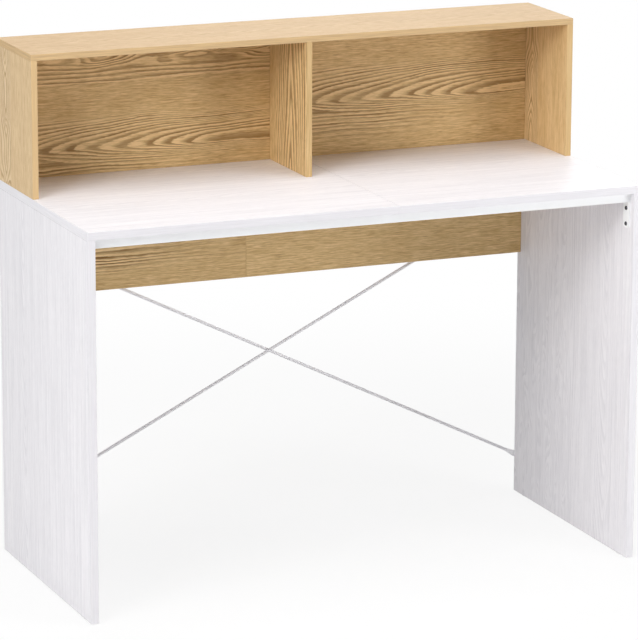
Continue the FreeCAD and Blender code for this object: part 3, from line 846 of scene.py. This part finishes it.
def screwTree(name, inputs):
    tree = FittingTree(name, inputs)
    form = screwForm
    radius = tree.input("Head diameter") / 2
    height = tree.input("Head height")
    core = tree.input("Shank diameter") / 2
    length = tree.input("Shank length")
    pitch = tree.input("Thread pitch")
    root = form["root"]

    def shank(row, angle):
        level = row.greater(form["cap"]).lesser(1 - form["cap"])
        turn = level * length / pitch + angle / (2 * math.pi)
        crest = 1 - abs(turn.part() * 2 - 1)
        point = level.ease(*form["point"])
        closed = row.below(1 - form["capEdge"]) * (1 - row.below(form["capEdge"]))
        thread = core * (crest * (1 - root) + root)
        return thread * point * closed, height * -1 - level * length

    outline = dome(form["domeSteps"], form["domePowers"]) + [(0.0, 1.0)]
    head = tree.turning(form["headSides"], outline, radius, height)
    width = tree.input("Recess width")
    slot = tree.input("Recess slot")
    depth = tree.input("Recess depth")
    hub = form["hubWidth"]
    blades = [
        tree.block(width, slot, depth * 2, form["crossTaper"]),
        tree.block(slot, width, depth * 2, form["crossTaper"]),
        tree.block(slot * hub, slot * hub, depth * form["hubHeight"], form["hubTaper"]),
    ]
    head = tree.smooth(tree.cut(head, blades), form["headCrease"])
    stem = tree.lathe(form["shankSides"], form["shankRows"], shank)
    tree.finish(tree.join([head, tree.smooth(stem, form["shankCrease"])]))
    return tree


for node, (length, seed) in screwKinds.items():
    sizes = {**screws, "Shank length": length, "Seed": seed, "Finish": darkScrew}
    placeFittings(node + "_pan_head", screwTree(node, sizes), "dark_screw", node)

cams = {
    "Diameter": 0.015,
    "Cross length": 0.0084,
    "Cross width": 0.0018,
    "Cross depth": 0.0018,
    "Cavity": 0.007,
    "Slot": 0.004,
    "Turn": 0.0,
    "Seed": 1,
}
camKinds = {
    # depth of the drum, and of the bolt's axis under its face
    "desk": (0.0115, 0.0075),
    "hutch": (0.010, 0.006),
}
camForm = {
    # outlines as (share of radius, share of depth)
    "face": [(0, 0.008), (0.60, 0.008), (0.63, 0.022), (0.69, 0.022), (0.72, 0.0), (0.93, 0.0)],
    "rim": [(0.975, 0.012), (1.0, 0.045), (1.0, 0.96), (0.96, 1.0), (0, 1.0)],
    "sides": 48,
    "crease": 30,
    "crossTaper": 0.25,
    "cavityPlace": 0.42,  # this and the next four are shares of the radius
    "slotLength": 1.4,
    "slotPlace": 0.9,
    "pointerSize": 0.14,
    "pointerPlace": 0.83,
    "pointerHeight": 0.0004,
    "pointerSink": 0.0001,
}


def camTree(name, inputs):
    tree = FittingTree(name, inputs)
    form = camForm
    radius = tree.input("Diameter") / 2
    depth = tree.input("Depth")
    drum = tree.turning(form["sides"], form["face"] + form["rim"], radius, depth)
    arm = tree.input("Cross length")
    blade = tree.input("Cross width")
    sunk = tree.input("Cross depth") * 2
    axis = tree.input("Axis depth") * -1
    cavity = tree.input("Cavity")
    slot = tree.input("Slot")
    hollow = tree.block(radius, cavity, cavity)
    channel = tree.block(radius * form["slotLength"], slot, slot)
    tools = [
        tree.block(arm, blade, sunk, form["crossTaper"]),
        tree.block(blade, arm, sunk, form["crossTaper"]),
        tree.shift(hollow, radius * form["cavityPlace"], axis),
        tree.shift(channel, radius * form["slotPlace"], axis),
    ]
    drum = tree.smooth(tree.cut(drum, tools), form["crease"])
    size = {"Vertices": 3, "Radius": radius * form["pointerSize"], "Depth": form["pointerHeight"]}
    pointer = tree.node("GeometryNodeMeshCylinder", {}, size)
    pointer = tree.shift(pointer, radius * form["pointerPlace"], -form["pointerSink"])
    tree.finish(tree.join([drum, tree.smooth(pointer, form["crease"])]))
    return tree


for kind, (depth, axis) in camKinds.items():
    sizes = {**cams, "Depth": depth, "Axis depth": axis, "Finish": zinc}
    name = kind + "_cam_drums"
    tree = camTree(name, sizes)
    placeFittings(name, tree, "zinc_fitting", kind + "_cam_locks", kind + "_cam_bolts")

glides = {
    "Diameter": 0.013,
    "Height": 0.002,
    "Nail diameter": 0.002,
    "Nail length": 0.012,
    "Turn": 0.0,
    "Seed": 1,
    "Finish": glidePlastic,
}
glideForm = {
    # outlines as (share of radius, share of height)
    "sole": [(0, 0.16), (0.30, 0.16), (0.34, 0.05), (0.40, 0.004), (0.72, 0.004), (0.86, 0.07)],
    "edge": [(0.94, 0.2), (0.985, 0.42), (1.0, 0.66), (1.0, 1.0), (0, 1.0)],
    "nail": [(0, 0), (1, 0), (1, 0.8), (0.05, 1.0), (0, 1.0)],
    "sides": 44,
    "crease": 50,
    "nailSides": 12,
    "nailCrease": 30,
}


def glideTree(name, inputs):
    tree = FittingTree(name, inputs)
    form = glideForm
    radius = tree.input("Diameter") / 2
    height = tree.input("Height")
    foot = tree.turning(form["sides"], form["sole"] + form["edge"], radius, height)
    foot = tree.smooth(foot, form["crease"])
    nailRadius = tree.input("Nail diameter") / 2
    nail = tree.turning(form["nailSides"], form["nail"], nailRadius, tree.input("Nail length"))
    nail = tree.smooth(nail, form["nailCrease"])
    tree.finish(tree.join([foot, tree.shift(nail, 0.0, height * -1)]))
    return tree


feet = glideTree("floor_glide_feet", glides)
placeFittings("floor_glide_feet", feet, "glide_plastic", "floor_glides")
print("fittings placed")

rods = {
    "diameter": 0.00598,
    "eyeWidth": 0.0119,
    "eyeThickness": 0.00198,
    "eyeReach": 0.009,  # from the screw to where the flat begins to taper
    "taper": 0.018,
    "low": 0.075,  # heights of the screws
    "high": 0.613,
    "reach": 0.5425,  # from the desk's middle to the screws
    "rear": 0.2437,
    "innerAxis": 0.0033,  # from the panels' rear edges to each rod's middle
    "outerAxis": 0.0096,
    "squareness": 0.3,  # power that squares the flats' section; 1 makes it round
    "tipShare": 0.02,  # width of the eye's very end, as a share of its own
    "tipThickness": 0.5,
    "sides": 32,
    "eyeTurn": 9,  # degrees between the rings round an eye
    "flatRing": 0.6,  # place of one more ring, as a share of the flat
    "taperSteps": 14,
    "stemSteps": 6,
    "crease": 40,
}


def strip(mesh, first, second):  # faces between two rings of points
    count = len(first)
    for index in range(count):
        after = (index + 1) % count
        mesh.faces.new((first[index], first[after], second[after], second[index]))


def skin(mesh, rings):  # faces between rings of points, closed at both ends
    rows = [[mesh.verts.new(point) for point in ring] for ring in rings]
    for first, second in zip(rows, rows[1:]):
        strip(mesh, first, second)
    mesh.faces.new(rows[0])
    mesh.faces.new(rows[-1])


def toMesh(name, mesh, degrees):
    bmesh.ops.recalc_face_normals(mesh, faces=mesh.faces)
    made = bpy.data.meshes.new(name)
    mesh.to_mesh(made)
    mesh.free()
    for face in made.polygons:
        face.use_smooth = True
    made.set_sharp_from_angle(angle=math.radians(degrees))
    return made


def rodShape(distance):
    # width, thickness, share of the rise to the axis, and squareness, by distance from the screw
    width = rods["eyeWidth"]
    thickness = rods["eyeThickness"]
    square = rods["squareness"]
    if distance < 0:
        share = math.sqrt(max(1 - (distance / (width / 2)) ** 2, rods["tipShare"] ** 2))
        return width * share, thickness * min(1, rods["tipThickness"] + share), 0, square
    share = min(max((distance - rods["eyeReach"]) / rods["taper"], 0), 1)
    share = share * share * (3 - 2 * share)
    width = width + (rods["diameter"] - width) * share
    thickness = thickness + (rods["diameter"] - thickness) * share
    return width, thickness, share, square + (1 - square) * share


def rodPlaces(length):  # distances from the first screw to each ring of points
    eye = rods["eyeWidth"] / 2
    flat = rods["eyeReach"]
    stem = flat + rods["taper"]
    tapers = rods["taperSteps"]
    stems = rods["stemSteps"]
    places = [-eye * math.cos(math.radians(turn)) for turn in range(0, 90, rods["eyeTurn"])]
    places += [0, flat * rods["flatRing"]]
    places += [flat + rods["taper"] * step / tapers for step in range(tapers + 1)]
    places += [stem + (length / 2 - stem) * step / stems for step in range(1, stems)]
    return places + [length / 2] + [length - place for place in reversed(places)]


def squared(value, power):
    return math.copysign(abs(value) ** power, value)


def makeRod(name, side, axis, finish):
    start = Vector((side * rods["reach"], rods["rear"], rods["low"]))
    end = Vector((-side * rods["reach"], rods["rear"], rods["high"]))
    length = (end - start).length
    along = (end - start).normalized()
    across = along.cross(Vector((0, 1, 0)))
    flat = rods["eyeThickness"] / 2
    mesh = bmesh.new()
    rings = []
    for place in rodPlaces(length):
        width, thickness, lift, square = rodShape(min(place, length - place))
        middle = start + along * place + Vector((0, flat + (axis - flat) * lift, 0))
        ring = []
        for index in range(rods["sides"]):
            turn = 2 * math.pi * index / rods["sides"]
            wide = squared(math.cos(turn), square) * width / 2
            deep = squared(math.sin(turn), square) * thickness / 2
            ring.append(middle + across * wide + Vector((0, deep, 0)))
        rings.append(ring)
    skin(mesh, rings)
    made = toMesh(name, mesh, rods["crease"])
    made.materials.append(finish)
    addPiece(name, made, "grey_steel", name.replace("_round", ""))


makeRod("brace_rod_inner_round", -1, rods["innerAxis"], rodPaint)
makeRod("brace_rod_outer_round", 1, rods["outerAxis"], rodPaint)
print("rods made")

beam = {
    "wall": 0.0015,
    "corner": 0.0032,
    "cornerSteps": 7,
    "crease": 40,
    "bead": 0.0011,  # radius of the welds at its ends
    "beadInset": 0.4,  # how far the beads lie inside the ends, in radii
    "beadSides": 10,
    "beadCrease": 80,
    "ripple": 0.14,
    "rippleLength": 0.0018,
    "ripplePoints": 5,
}


def roundedOutline(low, high, corner):  # (across, up) points round a rounded rectangle
    steps = beam["cornerSteps"]
    points = []
    for quarter, (across, up) in enumerate(((1, 1), (0, 1), (0, 0), (1, 0))):
        middle = high[0] - corner if across else low[0] + corner
        level = high[1] - corner if up else low[1] + corner
        for step in range(steps + 1):
            turn = math.pi / 2 * (quarter + step / steps)
            points.append((middle + corner * math.cos(turn), level + corner * math.sin(turn)))
    return points


def makeBeam(finish):
    low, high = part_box("front_beam")
    corners = ((low[1], low[2]), (high[1], high[2]))
    wall = beam["wall"]
    within = ((low[1] + wall, low[2] + wall), (high[1] - wall, high[2] - wall))
    outer = roundedOutline(*corners, beam["corner"])
    inner = roundedOutline(*within, beam["corner"] - wall)
    mesh = bmesh.new()
    rows = []
    for outline in (outer, inner):
        for end in (low[0], high[0]):
            rows.append([mesh.verts.new((end, across, up)) for across, up in outline])
    for first, second in ((0, 1), (3, 2), (1, 3), (2, 0)):  # outside, inside, right and left end
        strip(mesh, rows[first], rows[second])
    made = toMesh("front_beam_tube", mesh, beam["crease"])
    made.materials.append(finish)
    addPiece("front_beam_tube", made, "white_steel", "front_beam")


def weldTree(name, inputs):  # a rippled bead along each path
    tree = FittingTree(name, inputs)
    path = tree.node("GeometryNodeMeshToCurve", {}, {"Mesh": tree.input("Geometry")})
    fine = {"Curve": path, "Length": tree.input("Ripple length") / beam["ripplePoints"]}
    path = tree.node("GeometryNodeResampleCurve", {"mode": "LENGTH"}, fine)
    reach = tree.node("GeometryNodeSplineParameter", {}, {}, "Length")
    wave = (reach / tree.input("Ripple length") * (2 * math.pi)).sine()
    size = tree.input("Bead radius") * (1 + wave * tree.input("Ripple"))
    circle = {"Resolution": beam["beadSides"], "Radius": 1.0}
    ring = tree.node("GeometryNodeCurvePrimitiveCircle", {}, circle)
    values = {"Curve": path, "Profile Curve": ring, "Scale": size, "Fill Caps": True}
    bead = tree.node("GeometryNodeCurveToMesh", {}, values)
    tree.close(tree.smooth(bead, beam["beadCrease"]))
    return tree


def makeWelds(finish):
    low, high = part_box("front_beam")
    bead = beam["bead"]
    inset = bead * beam["beadInset"]
    outline = roundedOutline((low[1], low[2]), (high[1], high[2]), beam["corner"])
    outline = [point for point in outline if point[1] < high[2] - 2 * bead]  # clear of the desktop
    points = []
    edges = []
    for end in (low[0] + inset, high[0] - inset):
        first = len(points)
        edges += [(first + index, first + index + 1) for index in range(len(outline) - 1)]
        points += [(end, across, up) for across, up in outline]
    host = bpy.data.meshes.new("weld_path")
    host.from_pydata(points, edges, [])
    inputs = {
        "Bead radius": bead,
        "Ripple": beam["ripple"],
        "Ripple length": beam["rippleLength"],
        "Finish": finish,
    }
    mesh = grow("beam_weld_beads", host, weldTree("beam_weld_beads", inputs))
    addPiece("beam_weld_beads", mesh, "white_steel")


makeBeam(beamPaint)
makeWelds(beamPaint)
print("beam made")

room = {
    "floorShare": 0.16,  # how much of the floor's own shading the camera sees near the desk
    "fadeStart": 0.9,  # from here outwards the floor turns plain white
    "fadeEnd": 2.2,
    "floorSize": 3.0,
    "floorColour": tint(243, 243, 243),
    "mottle": 3.0,
    "white": (1, 1, 1, 1),
    "ambient": 0.1,
}
lamps = {
    # power in watts, place, aim, width and height
    "key": (74, (-3.0, -2.0, 2.6), (0, 0, 0.6), 1.6, 1.6),
    "top": (56, (0, -0.6, 3.6), (0, -0.1, 0.7), 3.0, 2.0),
    "topRight": (14, (0.9, -0.5, 3.6), (0, -0.1, 0.7), 2.0, 1.6),
    "topRear": (20, (0, 1.4, 4.2), (0, -0.1, 0.7), 2.4, 2.0),
    "left": (27, (-4.0, -1.5, 1.2), (0, 0, 0.5), 1.6, 2.0),
    "right": (24, (1.9, -2.2, 1.0), (0.5, -0.25, 0.5), 1.0, 1.0),
    "rear": (22, (2.2, 4.2, 1.8), (0, 0, 0.5), 2.0, 1.6),
}
view = {
    "place": (-2.8345, -6.7666, 2.2770),
    "yaw": 22.751,  # this and the next two in degrees
    "pitch": 13.897,
    "roll": 0.224,
    "lens": 224.17,  # this and the sensor in millimetres
    "sensor": 36,
    "nearest": 0.1,
    "farthest": 100,
}


def seenDirectly(tree):  # 1 for what the camera sees, also in a mirror or through glass
    rays = tree.node("ShaderNodeLightPath").output.node
    kinds = ("Is Camera Ray", "Is Glossy Ray", "Is Transmission Ray")
    camera, mirror, through = [Sock(tree, rays.outputs[kind]) for kind in kinds]
    return camera.greater(mirror).greater(through)


def makeFloor():
    mesh = bpy.data.meshes.new("floor")
    reach = room["floorSize"]
    corners = [(-reach, -reach, 0), (reach, -reach, 0), (reach, reach, 0), (-reach, reach, 0)]
    mesh.from_pydata(corners, [], [(0, 1, 2, 3)])
    floor = bpy.data.objects.new("floor", mesh)
    bpy.context.scene.collection.objects.link(floor)
    material, tree = newFinish("floor_finish")
    place = tree.objectPlace()
    mottle = tree.noise(place, room["mottle"])
    distance = tree.node("ShaderNodeVectorMath", {"operation": "LENGTH"}, {0: place}, "Value")
    near = distance.ease(room["fadeStart"], room["fadeEnd"], 1.0, 0.0)
    white = tree.node("ShaderNodeEmission", {}, {"Color": room["white"], "Strength": 1.0})
    colour = tree.blend(mottle, room["floorColour"], room["white"])
    matt = tree.node("ShaderNodeBsdfDiffuse", {}, {"Color": colour})
    share = seenDirectly(tree) * (1 - near * room["floorShare"])
    surface = tree.node("ShaderNodeMixShader", {}, {0: share, 1: matt, 2: white})
    tree.node("ShaderNodeOutputMaterial", {}, {"Surface": surface})
    mesh.materials.append(material)


def makeWorld():
    world = bpy.data.worlds.new("studio")
    world.use_nodes = True
    world.node_tree.nodes.clear()
    tree = Tree(world.node_tree)
    strength = seenDirectly(tree) * (1 - room["ambient"]) + room["ambient"]
    sky = tree.node("ShaderNodeBackground", {}, {"Color": room["white"], "Strength": strength})
    tree.node("ShaderNodeOutputWorld", {}, {"Surface": sky})
    bpy.context.scene.world = world


def makeLamp(name, power, place, target, width, height):
    lamp = bpy.data.lights.new(name, "AREA")
    lamp.energy = power
    lamp.shape = "RECTANGLE"
    lamp.size = width
    lamp.size_y = height
    holder = bpy.data.objects.new(name, lamp)
    holder.location = place
    holder.rotation_euler = (Vector(target) - Vector(place)).to_track_quat("-Z", "Y").to_euler()
    bpy.context.scene.collection.objects.link(holder)


def makeCamera():
    lens = bpy.data.cameras.new("camera")
    lens.lens = view["lens"]
    lens.sensor_width = view["sensor"]
    lens.clip_start = view["nearest"]
    lens.clip_end = view["farthest"]
    camera = bpy.data.objects.new("camera", lens)
    turn = Matrix.Rotation(-math.radians(view["yaw"]), 4, "Z")
    tilt = Matrix.Rotation(math.radians(90 - view["pitch"]), 4, "X")
    roll = Matrix.Rotation(math.radians(view["roll"]), 4, "Z")
    camera.matrix_world = Matrix.Translation(view["place"]) @ turn @ tilt @ roll
    bpy.context.scene.collection.objects.link(camera)
    bpy.context.scene.camera = camera


makeFloor()
makeWorld()
for name, layout in lamps.items():
    makeLamp(name, *layout)
makeCamera()
bpy.context.scene.view_settings.view_transform = "Standard"
print("studio set")
